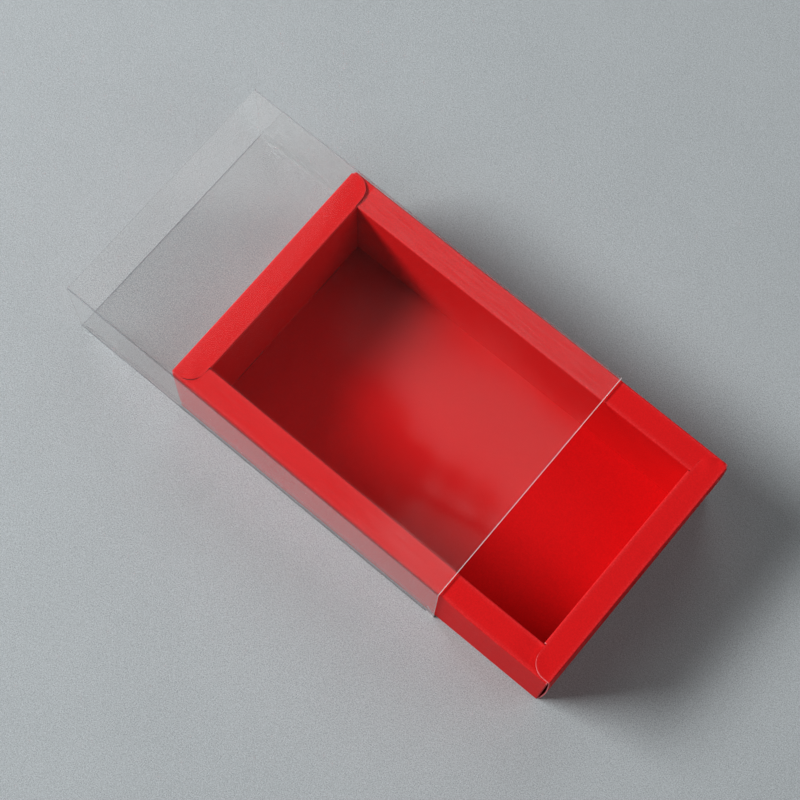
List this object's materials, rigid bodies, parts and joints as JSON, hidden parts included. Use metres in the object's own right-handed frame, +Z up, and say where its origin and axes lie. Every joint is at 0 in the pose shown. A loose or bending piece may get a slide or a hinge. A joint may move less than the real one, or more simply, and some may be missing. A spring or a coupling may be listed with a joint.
{
  "type": "sliding drawer gift box",
  "caption": "Low rectangular gift box: an open card drawer with hollow frame walls that slides in a clear film sleeve open at both ends.",
  "frame": {"origin": "centre of the sleeve's underside, on the surface that the box lies on", "axes": "+X the way the drawer comes out, +Y towards the far long side, +Z up"},
  "size_m": [0.2197, 0.1018, 0.0411],
  "materials": {
    "red_card": "matt dyed card, about 350 gsm",
    "red_card_floor": "matt dyed card, about 350 gsm",
    "clear_film": "clear glossy film"
  },
  "bodies": {
    "sleeve": {"sleeve_top": "clear_film", "sleeve_bottom": "clear_film", "sleeve_near_side": "clear_film", "sleeve_far_side": "clear_film", "sleeve_glue_flap": "clear_film"},
    "drawer": {"drawer_base": "red_card_floor", "near_outer_wall": "red_card", "near_rim": "red_card", "near_inner_wall": "red_card", "near_rear_corner_tab": "red_card", "near_front_corner_tab": "red_card", "far_outer_wall": "red_card", "far_rim": "red_card", "far_inner_wall": "red_card", "far_front_corner_tab": "red_card", "far_rear_corner_tab": "red_card", "rear_outer_wall": "red_card", "rear_rim": "red_card", "rear_inner_wall": "red_card", "front_outer_wall": "red_card", "front_rim": "red_card", "front_inner_wall": "red_card"}
  },
  "joints": [
    {"name": "drawer_slide", "type": "slide", "parent": "sleeve", "child": "drawer", "axis": [1, 0, 0], "range_m": [-0.048, 0.1225]}
  ]
}
